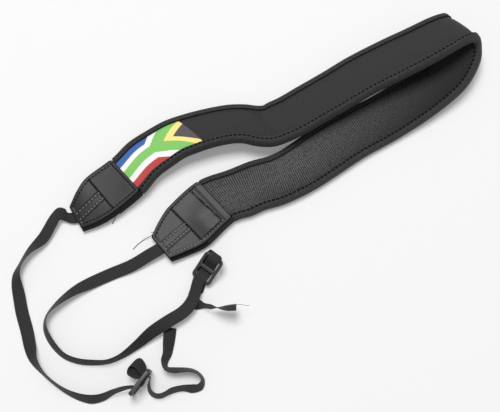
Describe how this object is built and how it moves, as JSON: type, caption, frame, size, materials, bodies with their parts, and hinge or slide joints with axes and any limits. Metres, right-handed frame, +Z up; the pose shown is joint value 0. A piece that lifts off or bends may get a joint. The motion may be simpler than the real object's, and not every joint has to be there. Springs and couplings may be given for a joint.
{
  "type": "camera neck strap",
  "caption": "Padded neoprene camera neck strap folded over on a table, with bound edges, leather caps and narrow webbing run through plastic sliders.",
  "frame": {"origin": "middle of the plan, on the table top that the strap lies on", "axes": "+X to the right of the picture and along the laid length, +Y away from the camera, +Z up"},
  "size_m": [0.3761, 0.3135, 0.0393],
  "materials": {
    "neoprene": "smooth knit cloth over foam",
    "mesh": "ribbed mesh",
    "tape": "matt woven tape",
    "leather": "fine grain, satin",
    "webbing": "ribbed weave",
    "plastic": "satin moulding"
  },
  "bodies": {
    "root": {"neck_pad": "neoprene", "grip_lining": "mesh", "binding_near": "tape", "binding_far": "tape", "cap_outer_a": "leather", "cap_inner_a": "leather", "cap_outer_b": "leather", "cap_inner_b": "leather", "webbing_a": "webbing", "webbing_b": "webbing", "slider_a": "plastic", "slider_b": "plastic"}
  },
  "joints": []
}
